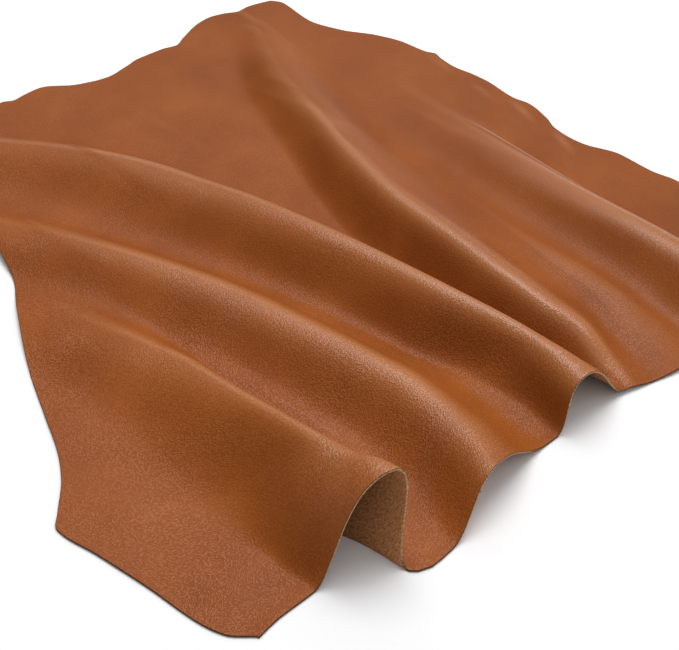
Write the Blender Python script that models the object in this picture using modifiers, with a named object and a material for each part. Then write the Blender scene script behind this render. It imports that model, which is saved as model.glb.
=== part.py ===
"""A leather hide that lies on a flat surface in long rolling folds.

The hide is one natural skin, 2 mm thick: smooth grain side up, suede side down, with a raw cut
edge. Its folds run along +X, open at the front end, and lie side by side across Y. Each one rises,
leans and dies out by its own table. +Z is up, the hide rests on Z = 0, and the middle of its
footprint is the origin. The tables are in millimetres, and the mesh is in metres.
"""

import bpy
import numpy as np

# Driving dimensions, in millimetres
MM = 0.001
THICKNESS = 2.0

# How the surface is sampled. The rows lie closer towards the open front end, where the folds change
# fastest, and within a row the samples lie closer where the leather bends.
SAMPLES_ALONG = 34
SAMPLES_ACROSS = 74
FRONT_CROWDING = 0.5
BEND_WORTH = 55.0
FINE_SAMPLES = 400
SETTLING_PASSES = 4

# The outline, as the hide lies. The two long edges give y at x, from back to front.
NEAR_EDGE = (
    (-396, -169), (-362, -196), (-290, -218), (-205, -233), (-140, -246), (-93, -255),
    (-42, -277), (50, -313), (101, -328), (145, -341), (176, -355), (205, -375),
    (219, -384), (261, -373), (313, -360), (360, -350), (382, -341), (398, -324),
)
FAR_EDGE = (
    (-422, 306), (-402, 322), (-340, 317), (-290, 332), (-250, 357), (-212, 371), (-172, 375),
    (-161, 380), (-146, 375), (-126, 373), (-92, 379), (-72, 380), (-16, 374), (2, 378),
    (38, 370), (60, 360), (82, 356), (104, 359), (148, 374), (190, 373), (220, 377), (300, 375),
    (380, 368), (422, 356),
)

# The two ends give x at the place across the hide where the leather would lie without its lean.
BACK_EDGE = (
    (-169, -395), (-101, -405), (-88, -400), (-72, -404), (-50, -407), (-10, -385), (30, -376),
    (60, -384), (84, -393), (122, -396), (140, -393), (160, -405), (200, -427), (222, -432),
    (240, -427), (258, -415), (276, -418), (306, -417),
)
FRONT_EDGE = (
    (-324, 399), (-302, 395), (-280, 394), (-258, 393), (-234, 395), (-221, 400), (-213, 407),
    (-206, 417), (-202, 424), (-196, 429), (-186, 432), (-157, 429), (-118, 417), (-71, 407),
    (-46, 402), (6, 399), (24, 397), (49, 398), (76, 401), (95, 406), (135, 414), (220, 418),
    (300, 421), (356, 422),
)

# The folds, from the near side to the far side. x and y place the crest as the leather would lie
# without its lean, height is the crest's, and near and far are how wide the fold spreads on each
# side of it. lean carries the crest towards the far side, and bulge pushes both flanks outwards.
COLUMNS = ("x", "y", "height", "near", "far", "lean", "bulge")
FOLDS = {
    "front arch": (
        (-70, -268, 0, 75, 55, 0, 0),
        (30, -240, 11, 80, 46, 0, 0),
        (100, -226, 22, 80, 40, 2, 0),
        (154, -216, 29, 80, 32, 4, 0),
        (230, -215, 42, 88, 32, 8, 0),
        (290, -222, 56, 80, 24, 17, 3),
        (355, -231, 71, 46, 11, 29, 8),
        (380, -224, 84, 47, 12, 22, 10),
        (404, -219, 90, 50, 13, 18, 10),
        (425, -215, 92, 52, 13, 13, 10),
    ),
    "second fold": (
        (-390, -319, 3, 60, 50, 0, 0),
        (-230, -262, 9, 65, 50, 0, 0),
        (-100, -199, 19, 70, 52, 0, 0),
        (0, -157, 25, 70, 50, 0, 0),
        (90, -126, 29, 70, 50, 0, 0),
        (180, -105, 32, 66, 50, 0, 0),
        (250, -92, 34, 64, 52, 0, 0),
        (300, -85, 35, 62, 56, 0, 0),
        (360, -88, 35, 62, 62, 0, 0),
        (420, -109, 40, 55, 85, 3, 1),
    ),
    "ridge between the second and third": (
        (-70, -125, 0, 30, 30, 0, 0),
        (83, -80, 3, 26, 26, 0, 0),
        (180, -60, 6, 20, 24, 0, 0),
        (245, -50, 7, 20, 22, 0, 0),
        (290, -34, 7, 36, 28, 0, 0),
        (345, -8, 9, 56, 30, 0, 0),
        (395, 0, 0, 55, 30, 0, 0),
    ),
    "third fold": (
        (-390, -223, 3, 90, 50, 0, 0),
        (-255, -123, 18, 92, 55, 0, 0),
        (-145, -70, 29, 88, 52, 0, 0),
        (-70, -46, 33, 84, 50, 0, 0),
        (0, -28, 39, 76, 46, 0, 0),
        (121, -6, 47, 66, 38, 0, 0),
        (190, 3, 51, 60, 32, 0, 0),
        (245, 10, 53, 58, 30, 0, 0),
        (300, 20, 53, 52, 30, -2, 0),
        (354, 29, 51, 50, 34, -6, 1),
        (392, 36, 50, 50, 38, -15, 4),
    ),
    "fourth fold": (
        (-430, 278, 3, 60, 80, 0, 0),
        (-321, 228, 12, 58, 80, 0, 0),
        (-214, 178, 23, 60, 80, 0, 0),
        (-100, 141, 33, 56, 78, 0, 0),
        (0, 108, 40, 55, 76, 0, 0),
        (97, 84, 46, 50, 78, 0, 0),
        (180, 78, 47, 44, 76, 0, 0),
        (245, 74, 46, 42, 72, 0, 0),
        (300, 75, 41, 38, 66, 0, 0),
        (340, 82, 32, 36, 44, 0, 0),
        (375, 82, 15, 32, 36, 0, 0),
        (410, 83, 0, 30, 30, 0, 0),
    ),
    "shoulder of the fourth": (
        (-70, 165, 0, 40, 60, 0, 0),
        (0, 162, 8, 48, 60, 0, 0),
        (90, 150, 15, 56, 66, 0, 0),
        (180, 148, 16, 56, 66, 0, 0),
        (250, 156, 16, 58, 60, 0, 0),
        (310, 158, 15, 64, 58, 0, 0),
        (365, 150, 9, 62, 60, 0, 0),
        (410, 145, 3, 50, 60, 0, 0),
    ),
    "fifth fold": (
        (-150, 288, 0, 60, 55, 0, 0),
        (-45, 274, 9, 70, 50, 0, 0),
        (70, 258, 21, 72, 50, 0, 0),
        (120, 250, 26, 72, 52, 0, 0),
        (188, 242, 32, 70, 55, 0, 0),
        (300, 235, 39, 68, 60, 0, 0),
        (422, 231, 42, 70, 64, 0, 0),
    ),
}
# Past its middle the arch's near flank steepens all the way up to a crisp crest: the power of t at x.
ARCH_CRISPNESS = ((150, 1.0), (235, 0.8), (300, 0.68), (345, 1.0))
FULLEST_BULGE = 1.3

GRAIN_COLOUR = (0.29, 0.09, 0.03, 1.0)
GRAIN_ROUGHNESS = 0.45


def clear_scene():
    for thing in list(bpy.data.objects):
        bpy.data.objects.remove(thing, do_unlink=True)


def read_curve(places, values, at):
    """A smooth curve through a table's rows, read at many places.

    Between two rows it is a cubic. Its slope at a row is the harmonic mean of the slopes on both
    sides, or level where they differ in sign, so the curve never swings past a row's value.
    """
    places = np.asarray(places, float)
    values = np.asarray(values, float)
    gap = np.diff(places)
    rise = np.diff(values) / gap
    slope = np.zeros(len(places))
    slope[0] = rise[0]
    slope[-1] = rise[-1]
    before, after = rise[:-1], rise[1:]
    same_way = before * after > 0
    slope[1:-1][same_way] = (2 * before * after / np.where(same_way, before + after, 1))[same_way]
    at = np.clip(at, places[0], places[-1])
    row = np.clip(np.searchsorted(places, at) - 1, 0, len(places) - 2)
    t = (at - places[row]) / gap[row]
    from_row = (1 + 2 * t) * (1 - t) ** 2 * values[row]
    from_next = t ** 2 * (3 - 2 * t) * values[row + 1]
    from_slopes = gap[row] * t * (1 - t) * ((1 - t) * slope[row] - t * slope[row + 1])
    return from_row + from_next + from_slopes


def edge_at(edge, at):
    places, values = zip(*edge)
    return read_curve(places, values, at)


def drape(x, y):
    """The leather's underside over the plan: each fold adds its own wave.

    Across a fold, t runs from -1 at its near foot through 0 at the crest to 1 at its far foot. The
    wave rises by height * cos(pi t / 2) squared, and is pushed across by lean times the same share
    and by bulge * sin(pi t) * (1 + cos(pi t)) / 1.3, which rounds the upper flanks alone. A power
    of t under 1 on the arch's near side makes that crest crisp.
    """
    z = np.zeros(np.shape(x))
    push = np.zeros(np.shape(x))
    for name, rows in FOLDS.items():
        table = dict(zip(COLUMNS, zip(*rows)))
        crest, height, near, far, lean, bulge = (
            read_curve(table["x"], table[column], x) for column in COLUMNS[1:]
        )
        aside = y - crest
        t = np.clip(aside / np.where(aside < 0, near, far), -1, 1)
        if name == "front arch":
            t = np.where(t < 0, -np.abs(t) ** edge_at(ARCH_CRISPNESS, x), t)
        share = np.cos(np.pi / 2 * t) ** 2
        z += height * share
        push += lean * share + bulge * np.sin(np.pi * t) * (1 + np.cos(np.pi * t)) / FULLEST_BULGE
    return np.stack([x + 0 * y, y + push, z], axis=-1)


def place(along, across):
    """The point of the outline's inside that lies these two shares of the way along and across."""
    x = np.zeros(np.broadcast(along, across).shape)
    for _ in range(SETTLING_PASSES):
        y = edge_at(NEAR_EDGE, x) * (1 - across) + edge_at(FAR_EDGE, x) * across
        x = edge_at(BACK_EDGE, y) * (1 - along) + edge_at(FRONT_EDGE, y) * along
    return x, y


def shares_along():
    """Shares of the way to the front end, each row a little closer to the next than the last."""
    step = np.linspace(0, 1, SAMPLES_ALONG)
    return step * (1 + FRONT_CROWDING * (1 - step))


def shares_across(along):
    """For each row, shares of the way across at equal runs of length, where bends count as length."""
    fine = np.linspace(0, 1, FINE_SAMPLES)
    section = drape(*place(along[:, None], fine[None, :]))
    step = np.diff(section, axis=1)
    length = np.hypot(step[..., 1], step[..., 2])
    heading = np.arctan2(step[..., 2], step[..., 1])
    bend = np.abs(np.diff(heading, axis=1, prepend=heading[:, :1]))
    run = np.cumsum(length + BEND_WORTH * bend, axis=1)
    run = np.concatenate([np.zeros((len(along), 1)), run], axis=1)
    wanted = np.linspace(0, 1, SAMPLES_ACROSS)
    return np.stack([np.interp(wanted * row[-1], row, fine) for row in run])


def hide_mesh():
    """The draped surface as a grid of four-sided faces, moved so that its footprint is centred."""
    along = shares_along()
    across = shares_across(along)
    points = drape(*place(along[:, None], across)).reshape(-1, 3)
    points[:, :2] -= (points[:, :2].min(axis=0) + points[:, :2].max(axis=0)) / 2
    index = np.arange(SAMPLES_ALONG * SAMPLES_ACROSS).reshape(SAMPLES_ALONG, SAMPLES_ACROSS)
    corners = (index[:-1, :-1], index[1:, :-1], index[1:, 1:], index[:-1, 1:])
    faces = np.stack(corners, axis=-1).reshape(-1, 4)
    mesh = bpy.data.meshes.new("hide")
    mesh.from_pydata((points * MM).tolist(), [], faces.tolist())
    mesh.shade_smooth()
    return mesh


def leather_material():
    """Saddle-brown leather with a soft shine."""
    material = bpy.data.materials.new("saddle leather")
    material.use_nodes = True
    shader = material.node_tree.nodes["Principled BSDF"]
    shader.inputs["Base Color"].default_value = GRAIN_COLOUR
    shader.inputs["Roughness"].default_value = GRAIN_ROUGHNESS
    shader.inputs["Metallic"].default_value = 0.0
    return material


def make_hide(collection):
    """The skin: its underside is the draped surface, and its thickness is laid on top of that."""
    hide = bpy.data.objects.new("hide", hide_mesh())
    collection.objects.link(hide)
    hide.data.materials.append(leather_material())
    skin = hide.modifiers.new("Thickness", "SOLIDIFY")
    skin.thickness = THICKNESS * MM
    skin.offset = 1.0
    skin.use_even_offset = True
    return hide


clear_scene()
leather_hide = bpy.data.collections.new("leather hide")
bpy.context.scene.collection.children.link(leather_hide)
make_hide(leather_hide)
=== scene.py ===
import math

import bpy
import numpy as np
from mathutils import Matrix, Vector


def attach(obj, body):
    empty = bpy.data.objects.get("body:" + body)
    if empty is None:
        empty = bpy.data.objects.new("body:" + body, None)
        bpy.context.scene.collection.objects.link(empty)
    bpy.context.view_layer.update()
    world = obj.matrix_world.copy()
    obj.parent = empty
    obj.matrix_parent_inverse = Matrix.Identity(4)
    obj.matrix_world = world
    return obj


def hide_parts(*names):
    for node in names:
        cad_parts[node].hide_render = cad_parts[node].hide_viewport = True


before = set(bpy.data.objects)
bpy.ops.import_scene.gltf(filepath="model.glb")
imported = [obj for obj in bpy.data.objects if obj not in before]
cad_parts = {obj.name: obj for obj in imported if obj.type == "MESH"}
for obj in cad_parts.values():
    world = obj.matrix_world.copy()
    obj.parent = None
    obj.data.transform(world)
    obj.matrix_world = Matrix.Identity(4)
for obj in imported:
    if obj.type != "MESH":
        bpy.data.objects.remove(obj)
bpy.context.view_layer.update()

# The view and the light.
# The camera looks down on the folds' open ends from the front left, 40 degrees above the table.
# Two wide soft lights hang behind the hide, so the crests shine and the near flanks stay dark, and a
# white room that is brightest behind the hide's front end fills the shadows.
LOOK_AT = Vector((0.1701, -0.0551, 0.0))
CAMERA_DISTANCE = 1.12
CAMERA_AZIMUTH = 50.0
CAMERA_ELEVATION = 40.0
FOCAL_PIXELS = 1200.0
FRAME_WIDTH_PIXELS = 679.0
SENSOR_MM = 36.0


def direction(azimuth, elevation):
    """The unit vector towards a place seen at an azimuth, 0 in front, and an elevation above."""
    turn = math.radians(azimuth)
    lift = math.radians(elevation)
    return Vector((math.sin(turn) * math.cos(lift), -math.cos(turn) * math.cos(lift), math.sin(lift)))


def aim(thing, place, target):
    thing.location = place
    thing.rotation_euler = (target - place).to_track_quat("-Z", "Y").to_euler()
    bpy.context.scene.collection.objects.link(thing)


camera_data = bpy.data.cameras.new("camera")
camera_data.sensor_fit = "HORIZONTAL"
camera_data.sensor_width = SENSOR_MM
camera_data.lens = FOCAL_PIXELS / FRAME_WIDTH_PIXELS * SENSOR_MM
camera_data.clip_start = 0.01
camera = bpy.data.objects.new("camera", camera_data)
aim(camera, LOOK_AT + CAMERA_DISTANCE * direction(CAMERA_AZIMUTH, CAMERA_ELEVATION), LOOK_AT)
bpy.context.scene.camera = camera


def soft_light(name, azimuth, elevation, distance, width, height, power):
    """A rectangular studio light that faces the middle of the view."""
    data = bpy.data.lights.new(name, "AREA")
    data.shape = "RECTANGLE"
    data.size = width
    data.size_y = height
    data.energy = power
    aim(bpy.data.objects.new(name, data), LOOK_AT + distance * direction(azimuth, elevation), LOOK_AT)


soft_light("main light", azimuth=220, elevation=71, distance=4.5, width=3.3, height=2.4, power=160)
soft_light("back light", azimuth=236, elevation=36, distance=4.5, width=3.0, height=1.6, power=14)

bpy.context.scene.view_settings.view_transform = "Standard"
world = bpy.data.worlds.new("studio")
world.use_nodes = True
room = world.node_tree
towards_bright_side = room.nodes.new("ShaderNodeVectorMath")
towards_bright_side.operation = "DOT_PRODUCT"
room.links.new(room.nodes.new("ShaderNodeTexCoord").outputs["Generated"], towards_bright_side.inputs[0])
towards_bright_side.inputs[1].default_value = direction(azimuth=140, elevation=55)
brightness = room.nodes.new("ShaderNodeMapRange")
brightness.inputs["From Min"].default_value = -0.35
brightness.inputs["To Min"].default_value = 0.0
brightness.inputs["To Max"].default_value = 0.84
room.links.new(towards_bright_side.outputs["Value"], brightness.inputs["Value"])
room.nodes["Background"].inputs["Color"].default_value = (1.0, 1.0, 1.0, 1.0)
room.links.new(brightness.outputs["Result"], room.nodes["Background"].inputs["Strength"])
bpy.context.scene.world = world

FLOOR_HALF_SIDE = 4.0
FLOOR_DROP = 0.0002
floor_mesh = bpy.data.meshes.new("floor")
floor_corners = [
    (x * FLOOR_HALF_SIDE, y * FLOOR_HALF_SIDE, -FLOOR_DROP) for x, y in ((-1, -1), (1, -1), (1, 1), (-1, 1))
]
floor_mesh.from_pydata(floor_corners, [], [(0, 1, 2, 3)])
floor = bpy.data.objects.new("floor", floor_mesh)
bpy.context.scene.collection.objects.link(floor)
floor_paint = bpy.data.materials.new("white floor")
floor_paint.use_nodes = True
floor_shader = floor_paint.node_tree.nodes["Principled BSDF"]
floor_shader.inputs["Base Color"].default_value = (0.84, 0.84, 0.845, 1.0)
floor_shader.inputs["Roughness"].default_value = 0.9
floor_shader.inputs["Specular IOR Level"].default_value = 0.0
floor_mesh.materials.append(floor_paint)

# The hide.
# One whole skin of upholstery leather, 2 mm thick, with a wavy natural outline. It is laid flat between
# long folds that rise towards the front end, where they stand open. The tables are in millimetres.
MM = 0.001
THICKNESS = 2.0
TABLE_MIDDLE = (-0.10, -1.93)
FRONT_CROWDING = 0.5
BEND_WORTH = 55.0
FINE_SAMPLES = 1200
SETTLING_PASSES = 4

NEAR_EDGE = (
    (-396, -169), (-362, -196), (-290, -218), (-205, -233), (-140, -246), (-93, -255),
    (-42, -277), (50, -313), (101, -328), (145, -341), (176, -355), (205, -375),
    (219, -384), (261, -373), (313, -360), (360, -350), (382, -341), (398, -324),
)
FAR_EDGE = (
    (-422, 306), (-402, 322), (-340, 317), (-290, 332), (-250, 357), (-212, 371), (-172, 375),
    (-161, 380), (-146, 375), (-126, 373), (-92, 379), (-72, 380), (-16, 374), (2, 378),
    (38, 370), (60, 360), (82, 356), (104, 359), (148, 374), (190, 373), (220, 377), (300, 375),
    (380, 368), (422, 356),
)
BACK_EDGE = (
    (-169, -395), (-101, -405), (-88, -400), (-72, -404), (-50, -407), (-10, -385), (30, -376),
    (60, -384), (84, -393), (122, -396), (140, -393), (160, -405), (200, -427), (222, -432),
    (240, -427), (258, -415), (276, -418), (306, -417),
)
FRONT_EDGE = (
    (-324, 399), (-302, 395), (-280, 394), (-258, 393), (-234, 395), (-221, 400), (-213, 407),
    (-206, 417), (-202, 424), (-196, 429), (-186, 432), (-157, 429), (-118, 417), (-71, 407),
    (-46, 402), (6, 399), (24, 397), (49, 398), (76, 401), (95, 406), (135, 414), (220, 418),
    (300, 421), (356, 422),
)

FULLEST_BULGE = 1.3
COLUMNS = ("x", "y", "height", "near", "far", "lean", "bulge")
FOLDS = {
    "front arch": (
        (-70, -268, 0, 75, 55, 0, 0),
        (30, -240, 11, 80, 46, 0, 0),
        (100, -226, 22, 80, 40, 2, 0),
        (154, -216, 29, 80, 32, 4, 0),
        (230, -215, 42, 88, 32, 8, 0),
        (290, -222, 56, 80, 24, 17, 3),
        (355, -231, 71, 46, 11, 29, 8),
        (380, -224, 84, 47, 12, 22, 10),
        (404, -219, 90, 50, 13, 18, 10),
        (425, -215, 92, 52, 13, 13, 10),
    ),
    "second fold": (
        (-390, -319, 3, 60, 50, 0, 0),
        (-230, -262, 9, 65, 50, 0, 0),
        (-100, -199, 19, 70, 52, 0, 0),
        (0, -157, 25, 70, 50, 0, 0),
        (90, -126, 29, 70, 50, 0, 0),
        (180, -105, 32, 66, 50, 0, 0),
        (250, -92, 34, 64, 52, 0, 0),
        (300, -85, 35, 62, 56, 0, 0),
        (360, -88, 35, 62, 62, 0, 0),
        (420, -109, 40, 55, 85, 3, 1),
    ),
    "ridge between the second and third": (
        (-70, -125, 0, 30, 30, 0, 0),
        (83, -80, 3, 26, 26, 0, 0),
        (180, -60, 6, 20, 24, 0, 0),
        (245, -50, 7, 20, 22, 0, 0),
        (290, -34, 7, 36, 28, 0, 0),
        (345, -8, 9, 56, 30, 0, 0),
        (395, 0, 0, 55, 30, 0, 0),
    ),
    "third fold": (
        (-390, -223, 3, 90, 50, 0, 0),
        (-255, -123, 18, 92, 55, 0, 0),
        (-145, -70, 29, 88, 52, 0, 0),
        (-70, -46, 33, 84, 50, 0, 0),
        (0, -28, 39, 76, 46, 0, 0),
        (121, -6, 47, 66, 38, 0, 0),
        (190, 3, 51, 60, 32, 0, 0),
        (245, 10, 53, 58, 30, 0, 0),
        (300, 20, 53, 47, 30, -2, 0),
        (354, 29, 51, 45, 34, -6, 1),
        (392, 36, 50, 50, 38, -15, 4),
    ),
    "fourth fold": (
        (-430, 278, 3, 60, 80, 0, 0),
        (-321, 228, 12, 58, 80, 0, 0),
        (-214, 178, 23, 60, 80, 0, 0),
        (-100, 141, 33, 56, 78, 0, 0),
        (0, 108, 40, 55, 76, 0, 0),
        (97, 84, 46, 50, 78, 0, 0),
        (180, 78, 47, 44, 76, 0, 0),
        (245, 74, 46, 42, 72, 0, 0),
        (300, 75, 41, 38, 66, 0, 0),
        (340, 82, 32, 36, 44, 0, 0),
        (375, 82, 15, 32, 36, 0, 0),
        (410, 83, 0, 30, 30, 0, 0),
    ),
    "shoulder of the fourth": (
        (-70, 165, 0, 40, 60, 0, 0),
        (0, 162, 8, 48, 60, 0, 0),
        (90, 150, 15, 56, 66, 0, 0),
        (180, 148, 16, 56, 66, 0, 0),
        (250, 156, 16, 58, 60, 0, 0),
        (310, 158, 15, 64, 58, 0, 0),
        (365, 150, 9, 62, 60, 0, 0),
        (410, 145, 3, 50, 60, 0, 0),
    ),
    "fifth fold": (
        (-150, 288, 0, 60, 55, 0, 0),
        (-45, 274, 9, 70, 50, 0, 0),
        (70, 258, 21, 72, 50, 0, 0),
        (120, 250, 26, 72, 52, 0, 0),
        (188, 242, 32, 70, 55, 0, 0),
        (300, 235, 41, 62, 60, 0, 0),
        (422, 230, 44, 62, 64, 0, 0),
    ),
}
# Past the middle of the arch its near flank steepens all the way up to a crisp crest.
CRISPNESS_COLUMNS = ("x", "power of t", "power of the wave")
ARCH_CRISPNESS = (
    (150, 1.0, 1.0),
    (235, 0.8, 1.3),
    (300, 0.68, 1.5),
    (345, 1.0, 1.15),
    (375, 1.0, 1.0),
)

# The small creases between the folds, in the same columns, and soft marks where the skin is pulled.
CREASES = {
    "line beyond the front arch": (
        (95, -188, 0, 8, 12, 0, 0),
        (170, -172, 1.1, 9, 14, 0, 0),
        (258, -155, 1.2, 9, 14, 0, 0),
        (320, -147, 0, 8, 12, 0, 0),
    ),
    "thin crease above the fifth fold": (
        (-10, 284, 0, 5, 7, 0, 0),
        (60, 275, 0.9, 5, 7, 0, 0),
        (117, 268, 1.3, 5, 7, 0, 0),
        (162, 264, 1.1, 5, 7, 0, 0),
        (215, 262, 0, 5, 7, 0, 0),
    ),
    "faint fold on the back panel": (
        (-330, 10, 0, 30, 44, 0, 0),
        (-259, 17, 1.5, 30, 44, 0, 0),
        (-183, 25, 1.7, 30, 44, 0, 0),
        (-110, 36, 0, 30, 44, 0, 0),
    ),
}
MARK_COLUMNS = ("x", "y", "heading", "length", "width", "height")
MARKS = (
    (10, 358, -20, 30, 14, 3.0),
    (88, 343, -25, 26, 12, 2.6),
    (-54, 356, -15, 26, 14, 2.0),
    (-140, 366, -10, 30, 16, 2.4),
    (240, 372, -5, 40, 16, 2.0),
    (-330, -150, -40, 34, 16, 1.8),
    (-120, -240, 20, 34, 16, 1.4),
    (120, -318, -30, 26, 14, 1.2),
    (230, -330, -20, 60, 30, 1.2),
    (150, -290, 10, 50, 26, 1.0),
    (60, -268, 15, 44, 22, 1.2),
    (-300, 150, 60, 60, 30, 1.8),
    (-180, 70, 45, 50, 28, 1.4),
    (-360, 60, 20, 50, 34, 1.6),
    (-150, 300, -20, 60, 26, 1.8),
    (0, 320, -10, 50, 22, 1.4),
    (370, 160, 70, 40, 20, 1.2),
    (350, 300, 30, 50, 26, 1.4),
)

ROWS = 246
POINTS_A_ROW = 180
HEM_SHARE = 0.0008


def read_curve(places, values, at):
    """A smooth curve through a table's rows: a cubic between two rows.

    Its slope at a row is the harmonic mean of the slopes on both sides, or level where they differ
    in sign, so the curve never swings past a row's value.
    """
    places = np.asarray(places, float)
    values = np.asarray(values, float)
    gap = np.diff(places)
    rise = np.diff(values) / gap
    slope = np.zeros(len(places))
    slope[0] = rise[0]
    slope[-1] = rise[-1]
    before, after = rise[:-1], rise[1:]
    same_way = before * after > 0
    slope[1:-1][same_way] = (2 * before * after / np.where(same_way, before + after, 1))[same_way]
    at = np.clip(at, places[0], places[-1])
    row = np.clip(np.searchsorted(places, at) - 1, 0, len(places) - 2)
    t = (at - places[row]) / gap[row]
    from_row = (1 + 2 * t) * (1 - t) ** 2 * values[row]
    from_next = t ** 2 * (3 - 2 * t) * values[row + 1]
    from_slopes = gap[row] * t * (1 - t) * ((1 - t) * slope[row] - t * slope[row + 1])
    return from_row + from_next + from_slopes


def edge_at(edge, at):
    places, values = zip(*edge)
    return read_curve(places, values, at)


def drape(x, y):
    """The suede side over the plan: each fold adds a wave of height * cos(pi t / 2) squared.

    Across a fold, t runs from -1 at its near foot through 0 at the crest to 1 at its far foot. The
    wave is pushed across by lean times the same share, and its upper flanks by the bulge. On the near
    flank of the front arch, t and the share are first raised to the powers of its crispness.
    """
    z = np.zeros(np.shape(x))
    push = np.zeros(np.shape(x))
    for name, rows in (*FOLDS.items(), *CREASES.items()):
        table = dict(zip(COLUMNS, zip(*rows)))
        crest, height, near, far, lean, bulge = (
            read_curve(table["x"], table[column], x) for column in COLUMNS[1:]
        )
        aside = y - crest
        t = np.clip(aside / np.where(aside < 0, near, far), -1, 1)
        if name == "front arch":
            crisp = dict(zip(CRISPNESS_COLUMNS, zip(*ARCH_CRISPNESS)))
            power_of_t, power_of_wave = (
                read_curve(crisp["x"], crisp[column], x) for column in CRISPNESS_COLUMNS[1:]
            )
            t = np.where(t < 0, -np.abs(t) ** power_of_t, t)
        share = np.cos(np.pi / 2 * t) ** 2
        if name == "front arch":
            share = np.where(t < 0, share ** power_of_wave, share)
        z += height * share
        push += lean * share + bulge * np.sin(np.pi * t) * (1 + np.cos(np.pi * t)) / FULLEST_BULGE
    for row in MARKS:
        mark = dict(zip(MARK_COLUMNS, row))
        turn = math.radians(mark["heading"])
        ahead = (x - mark["x"]) * math.cos(turn) + (y - mark["y"]) * math.sin(turn)
        aside = (y - mark["y"]) * math.cos(turn) - (x - mark["x"]) * math.sin(turn)
        z += mark["height"] * np.exp(-(ahead / mark["length"]) ** 2 - (aside / mark["width"]) ** 2)
    return np.stack([x + 0 * y, y + push, z], axis=-1)


def place(along, across):
    """The point of the outline's inside that lies these two shares of the way along and across."""
    x = np.zeros(np.broadcast(along, across).shape)
    for _ in range(SETTLING_PASSES):
        y = edge_at(NEAR_EDGE, x) * (1 - across) + edge_at(FAR_EDGE, x) * across
        x = edge_at(BACK_EDGE, y) * (1 - along) + edge_at(FRONT_EDGE, y) * along
    return x, y


def with_hem(shares):
    """Adds a sample just inside each end, so the rounded border stays as narrow as the real one."""
    return np.concatenate([[0, HEM_SHARE], shares[1:-1], [1 - HEM_SHARE, 1]])


def shares_across(along):
    """For each row, shares of the way across at equal runs of length, where bends count as length."""
    fine = np.linspace(0, 1, FINE_SAMPLES)
    section = drape(*place(along[:, None], fine[None, :]))
    step = np.diff(section, axis=1)
    length = np.hypot(step[..., 1], step[..., 2])
    heading = np.arctan2(step[..., 2], step[..., 1])
    bend = np.abs(np.diff(heading, axis=1, prepend=heading[:, :1]))
    run = np.cumsum(length + BEND_WORTH * bend, axis=1)
    run = np.concatenate([np.zeros((len(along), 1)), run], axis=1)
    wanted = np.linspace(0, 1, POINTS_A_ROW - 2)
    return np.stack([with_hem(np.interp(wanted * row[-1], row, fine)) for row in run])


row_step = np.linspace(0, 1, ROWS - 2)
along = with_hem(row_step * (1 + FRONT_CROWDING * (1 - row_step)))
across = shares_across(along)
suede = drape(*place(along[:, None], across))
suede[..., :2] -= TABLE_MIDDLE


def normals_of(surface):
    """Unit normals, from the steps to the next samples along and across."""
    normal = np.cross(np.gradient(surface, axis=0), np.gradient(surface, axis=1))
    return normal / np.linalg.norm(normal, axis=-1, keepdims=True)


upwards = normals_of(suede)
grain = suede + THICKNESS * upwards

# Each point's place on the skin when it is spread flat: along by x, across by the run of the row.
row_run = np.cumsum(np.linalg.norm(np.diff(suede, axis=1, prepend=suede[:, :1]), axis=-1), axis=1)
flat_across = row_run - row_run[:, POINTS_A_ROW // 2, None]
flat = np.stack([suede[..., 0], flat_across], axis=-1)

# How tightly each place is bent across the folds, per millimetre: above 0 on a crest, below in a valley.
row_slope = np.gradient(suede, axis=1)
row_heading = np.unwrap(np.arctan2(row_slope[..., 2], row_slope[..., 1]), axis=1)
bend = -np.gradient(row_heading, axis=1) / np.linalg.norm(row_slope, axis=-1)

# The raw cut edge runs round the skin from the grain side to the suede side, a little rounded.
EDGE_SWELL = 0.35
EDGE_TURNS = (30, 60, 90, 120, 150)


def border(grid):
    """The grid's outer samples, once round: near side, front end, far side, back end."""
    return np.concatenate([grid[:-1, 0], grid[-1, :-1], grid[:0:-1, -1], grid[0, :0:-1]])


rim_middle = (border(suede) + border(grain)) / 2
rim_up = (border(grain) - border(suede)) / 2
rim_along = np.roll(rim_middle, -1, axis=0) - np.roll(rim_middle, 1, axis=0)
rim_out = np.cross(rim_along, rim_up)
rim_out /= np.linalg.norm(rim_out, axis=-1, keepdims=True)
rim = np.stack([
    rim_middle + rim_up * math.cos(math.radians(turn))
    + rim_out * EDGE_SWELL * math.sin(math.radians(turn)) ** 0.5
    for turn in EDGE_TURNS
])
rim_flat = np.stack([
    border(flat) + rim_out[:, :2] * THICKNESS * turn / 180 for turn in EDGE_TURNS
])

count = ROWS * POINTS_A_ROW
grain_index = np.arange(count).reshape(ROWS, POINTS_A_ROW)
suede_index = grain_index + count
rim_index = 2 * count + np.arange(rim.shape[0] * rim.shape[1]).reshape(rim.shape[:2])


def quads(index):
    corners = (index[:-1, :-1], index[1:, :-1], index[1:, 1:], index[:-1, 1:])
    return np.stack(corners, axis=-1).reshape(-1, 4)


loops = np.concatenate([border(grain_index)[None], rim_index, border(suede_index)[None]])
loops = np.concatenate([loops, loops[:, :1]], axis=1)
faces = np.concatenate([quads(grain_index), quads(suede_index)[:, ::-1], quads(loops)])
slots = np.repeat([0, 1, 2], [len(quads(grain_index)), len(quads(suede_index)), len(quads(loops))])
points = np.concatenate([grain.reshape(-1, 3), suede.reshape(-1, 3), rim.reshape(-1, 3)]) * MM
flat_places = np.concatenate([flat.reshape(-1, 2), flat.reshape(-1, 2), rim_flat.reshape(-1, 2)]) * MM
depth = np.concatenate([np.zeros(count), np.ones(count), np.repeat(EDGE_TURNS, rim.shape[1]) / 180])

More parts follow.
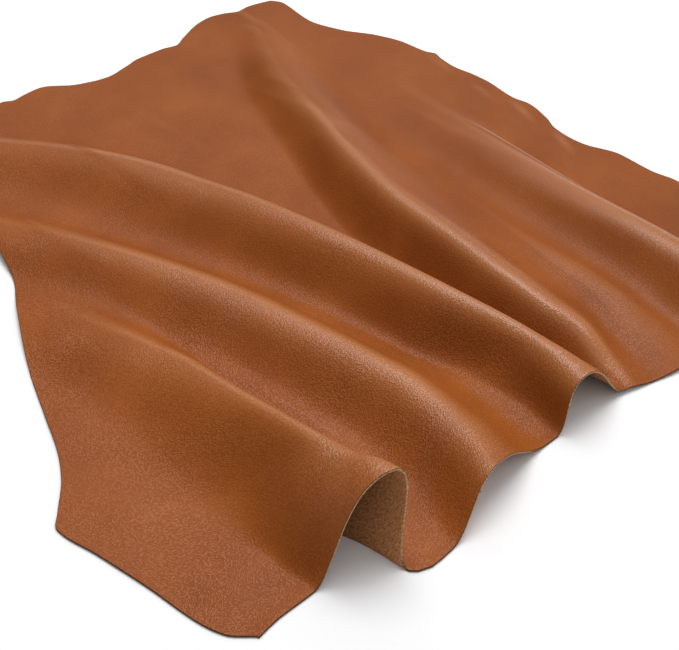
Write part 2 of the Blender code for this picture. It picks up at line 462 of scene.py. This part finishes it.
skin_mesh = bpy.data.meshes.new("hide_skin")
skin_mesh.from_pydata(points.tolist(), [], faces.tolist())
skin_mesh.polygons.foreach_set("material_index", slots.astype(np.int32))
flat_map = skin_mesh.uv_layers.new(name="spread flat")
flat_map.data.foreach_set("uv", flat_places[faces.reshape(-1)].astype(np.float32).ravel())
cut_depth = skin_mesh.attributes.new("cut depth", "FLOAT", "POINT")
cut_depth.data.foreach_set("value", depth.astype(np.float32))
skin_bend = skin_mesh.attributes.new("bend", "FLOAT", "POINT")
bend_values = np.concatenate([bend.ravel(), bend.ravel(), np.tile(border(bend), len(EDGE_TURNS))])
skin_bend.data.foreach_set("value", bend_values.astype(np.float32))
skin_mesh.shade_smooth()
skin = bpy.data.objects.new("hide_skin", skin_mesh)
bpy.context.scene.collection.objects.link(skin)

# The grain side is dyed saddle tan under a thin wax shine, and shows the pebble grain of the skin. The
# flesh side is a paler suede, and the cut edge shows the pale core between the two.
DYE_DARK = (0.228, 0.0560, 0.0080, 1.0)
DYE_MIDDLE = (0.266, 0.0680, 0.0105, 1.0)
DYE_LIGHT = (0.302, 0.0810, 0.0135, 1.0)
# Lighter dye on the crests: pull-up of the stretched skin, and also a painted crest highlight.
DYE_PULLED_AND_HIGHLIGHT = (0.362, 0.1160, 0.0260, 1.0)
PULLED_AND_HIGHLIGHT_BEND_START = 0.004
PULLED_AND_HIGHLIGHT_BEND = 0.050
GRAIN_ROUGHNESS = 0.43
WAX_ROUGHNESS = 0.31
PEBBLE_MM = 1.5
PEBBLE_WARP_MM = 0.4
PEBBLE_RELIEF_MM = 0.5
PEBBLE_CONTRAST = 0.38
TOWARDS_COARSE_CORNER = (0.6, -0.8, 0.0)
SUEDE_DARK = (0.16, 0.060, 0.020, 1.0)
SUEDE_LIGHT = (0.62, 0.275, 0.112, 1.0)
CORE_LIGHT = (0.52, 0.320, 0.170, 1.0)
CORE_DARK = (0.24, 0.105, 0.042, 1.0)
BURNISHED = (0.075, 0.022, 0.006, 1.0)


def socket(tree, kind, name, value=None, way="INPUT"):
    made = tree.interface.new_socket(name=name, in_out=way, socket_type=kind)
    if value is not None:
        made.default_value = value


def node(tree, kind, settings=(), **inputs):
    """Adds a node, sets its properties, and gives each named input a value or another's output."""
    made = tree.nodes.new(kind)
    for name, value in settings:
        setattr(made, name, value)
    for name, value in inputs.items():
        target = made.inputs[int(name[1:])] if name[1:].isdigit() else made.inputs[name.replace("_", " ")]
        if isinstance(value, bpy.types.NodeSocket):
            tree.links.new(value, target)
        else:
            target.default_value = value
    return made


def finish(name, roughness, specular):
    """A new material of the skin, with its Principled shader and its place on the flat skin."""
    material = bpy.data.materials.new(name)
    material.use_nodes = True
    tree = material.node_tree
    shader = tree.nodes["Principled BSDF"]
    shader.inputs["Roughness"].default_value = roughness
    shader.inputs["Specular IOR Level"].default_value = specular
    flat_place = node(tree, "ShaderNodeUVMap", [("uv_map", "spread flat")]).outputs["UV"]
    skin_mesh.materials.append(material)
    return tree, shader, flat_place


# Fibres: the short matted fibres of the flesh side and the cut edge, as a colour and a rough surface.
fibre_group = bpy.data.node_groups.new("leather fibres", "ShaderNodeTree")
socket(fibre_group, "NodeSocketVector", "Place")
socket(fibre_group, "NodeSocketFloat", "Fibres per metre")
socket(fibre_group, "NodeSocketFloat", "Detail")
socket(fibre_group, "NodeSocketFloat", "Roughness")
socket(fibre_group, "NodeSocketFloat", "Relief")
socket(fibre_group, "NodeSocketFloat", "Fibre", way="OUTPUT")
socket(fibre_group, "NodeSocketVector", "Normal", way="OUTPUT")
group_in = fibre_group.nodes.new("NodeGroupInput").outputs
group_out = fibre_group.nodes.new("NodeGroupOutput").inputs
fibre = node(
    fibre_group, "ShaderNodeTexNoise", Vector=group_in["Place"], Scale=group_in["Fibres per metre"],
    Detail=group_in["Detail"], Roughness=group_in["Roughness"],
).outputs["Fac"]
raised = node(
    fibre_group, "ShaderNodeBump", Height=fibre, Strength=0.8, Distance=group_in["Relief"],
)
fibre_group.links.new(fibre, group_out["Fibre"])
fibre_group.links.new(raised.outputs["Normal"], group_out["Normal"])


def ramp(tree, fac, *stops):
    """A colour ramp over a value, from (position, colour) stops."""
    made = node(tree, "ShaderNodeValToRGB", Fac=fac)
    elements = made.color_ramp.elements
    while len(elements) < len(stops):
        elements.new(0.5)
    for element, (position, colour) in zip(elements, stops):
        element.position = position
        element.color = colour
    return made.outputs["Color"]


def maths(tree, operation, first, second=0.0, third=0.0):
    made = node(tree, "ShaderNodeMath", [("operation", operation)], _0=first, _1=second, _2=third)
    return made.outputs[0]


def between(tree, value, low, high, at_low, at_high, **settings):
    """The value's way from low to high, as a value from at_low to at_high, and no further."""
    return node(
        tree, "ShaderNodeMapRange", tuple(settings.items()),
        Value=value, From_Min=low, From_Max=high, To_Min=at_low, To_Max=at_high,
    ).outputs["Result"]


def blended(tree, share, first, second):
    mix = node(tree, "ShaderNodeMix", [("data_type", "RGBA")], Factor=share, _6=first, _7=second)
    return mix.outputs[2]


def dimmed(tree, colour, by):
    return node(tree, "ShaderNodeVectorMath", [("operation", "SCALE")], _0=colour, Scale=by).outputs[0]


tree, shader, flat_place = finish("saddle tan grain side", GRAIN_ROUGHNESS, specular=0.12)
shader.inputs["Coat Roughness"].default_value = WAX_ROUGHNESS
bend_in = node(tree, "ShaderNodeAttribute", [("attribute_name", "bend")]).outputs["Fac"]
# Share of crest bend: pull-up of the skin, which also paints a highlight into the dye.
pulled_and_highlight = between(tree, bend_in, PULLED_AND_HIGHLIGHT_BEND_START, PULLED_AND_HIGHLIGHT_BEND, 0.0, 1.0)

# The pebbles are the cells of a Voronoi pattern, coarser towards the near corner and in patches.
warp = node(tree, "ShaderNodeTexNoise", Vector=flat_place, Scale=260.0, Detail=2.0)
warped = node(
    tree, "ShaderNodeVectorMath", [("operation", "MULTIPLY_ADD")],
    _0=warp.outputs["Color"], _1=(PEBBLE_WARP_MM * MM, PEBBLE_WARP_MM * MM, 0.0), _2=flat_place,
).outputs[0]
pebble = node(
    tree, "ShaderNodeTexVoronoi", Vector=warped, Scale=1 / (PEBBLE_MM * MM), Randomness=1.0,
).outputs["Distance"]
patches = node(tree, "ShaderNodeTexNoise", Vector=flat_place, Scale=11.0, Detail=3.0).outputs["Fac"]
towards_corner = node(
    tree, "ShaderNodeVectorMath", [("operation", "DOT_PRODUCT")], _0=flat_place, _1=TOWARDS_COARSE_CORNER,
).outputs["Value"]
coarseness_and_corner_sheen = between(tree, towards_corner, -0.2, 0.3, 0.2, 1.0)
strength = maths(tree, "MULTIPLY", between(tree, patches, 0.35, 0.65, 0.5, 1.0), coarseness_and_corner_sheen)
height = maths(tree, "MULTIPLY", maths(tree, "MULTIPLY", pebble, -1.0), strength)
bump = node(tree, "ShaderNodeBump", Height=height, Strength=1.0, Distance=PEBBLE_RELIEF_MM * MM)
tree.links.new(bump.outputs["Normal"], shader.inputs["Normal"])
tree.links.new(bump.outputs["Normal"], shader.inputs["Coat Normal"])

# The dye takes up in hand-sized clouds. It is lighter where the skin is pulled over a crest, as pull-up
# leather is, and this lightening is also a painted crest highlight. The pebbles' tops are painted lighter
# and the furrows darker, a painted sheen, and the tops also carry most of the wax. Towards the near
# corner the colour is painted lighter as well, a painted sheen.
cloud = node(
    tree, "ShaderNodeTexNoise", Vector=flat_place, Scale=9.0, Detail=5.0, Roughness=0.55,
).outputs["Fac"]
colour = ramp(tree, cloud, (0.30, DYE_DARK), (0.50, DYE_MIDDLE), (0.68, DYE_LIGHT))
colour = blended(tree, pulled_and_highlight, colour, DYE_PULLED_AND_HIGHLIGHT)
top = between(tree, pebble, 0.20, 0.58, 1.0, 0.0, interpolation_type="SMOOTHSTEP")
# Painted sheen on the grain: pebble tops lighter and the furrows between them darker.
pebble_painted_sheen = maths(tree, "MULTIPLY", maths(tree, "SUBTRACT", top, 0.5), strength)
# Painted sheen: the colour grows lighter towards the near corner.
corner_painted_sheen = maths(tree, "MULTIPLY_ADD", coarseness_and_corner_sheen, 0.20, 0.86)
lightness = maths(tree, "MULTIPLY_ADD", pebble_painted_sheen, PEBBLE_CONTRAST, corner_painted_sheen)
tree.links.new(dimmed(tree, colour, lightness), shader.inputs["Base Color"])
wax_on_tops = maths(tree, "MULTIPLY", top, strength)
wax_on_crests = maths(tree, "MULTIPLY", pulled_and_highlight, 0.65)
wax = maths(tree, "MULTIPLY_ADD", wax_on_tops, 0.55, wax_on_crests)
tree.links.new(node(tree, "ShaderNodeClamp", Value=wax).outputs[0], shader.inputs["Coat Weight"])

# The suede is painted paler near the front end and darker and duller deep inside the folds: painted shade
# where little light reaches.
tree, shader, flat_place = finish("suede flesh side", 0.95, specular=0.15)
nap = node(
    tree, "ShaderNodeGroup", [("node_tree", fibre_group)], Place=flat_place,
    Fibres_per_metre=430.0, Detail=5.0, Roughness=0.8, Relief=0.0006,
)
colour = ramp(tree, nap.outputs["Fibre"], (0.34, SUEDE_DARK), (0.66, SUEDE_LIGHT))
along_fold = node(tree, "ShaderNodeSeparateXYZ", Vector=flat_place).outputs["X"]
# Painted shade: darker deep inside the folds, paler towards the open front end.
painted_shade_into_folds = between(tree, along_fold, 0.350, 0.415, 0.45, 1.25)
tree.links.new(dimmed(tree, colour, painted_shade_into_folds), shader.inputs["Base Color"])
tree.links.new(nap.outputs["Normal"], shader.inputs["Normal"])

# The cut edge is burnished dark next to the grain side, and darker low down where it lies on the table:
# painted shade, with some dirt from handling.
tree, shader, flat_place = finish("raw cut edge", 0.85, specular=0.2)
fibres = node(
    tree, "ShaderNodeGroup", [("node_tree", fibre_group)], Place=flat_place,
    Fibres_per_metre=700.0, Detail=3.0, Roughness=0.5, Relief=0.0005,
)
colour = ramp(tree, fibres.outputs["Fibre"], (0.35, CORE_DARK), (0.60, CORE_LIGHT))
depth_in = node(tree, "ShaderNodeAttribute", [("attribute_name", "cut depth")]).outputs["Fac"]
colour = blended(tree, between(tree, depth_in, 0.15, 0.40, 1.0, 0.0), colour, BURNISHED)
own_place = node(tree, "ShaderNodeTexCoord").outputs["Object"]
height_in = node(tree, "ShaderNodeSeparateXYZ", Vector=own_place).outputs["Z"]
# Painted shade near the table, with some handling dirt: darker where the edge lies low.
shade_near_table = between(tree, height_in, 0.002, 0.016, 0.30, 1.0)
tree.links.new(dimmed(tree, colour, shade_near_table), shader.inputs["Base Color"])
tree.links.new(fibres.outputs["Normal"], shader.inputs["Normal"])

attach(skin, "root")
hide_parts("hide")
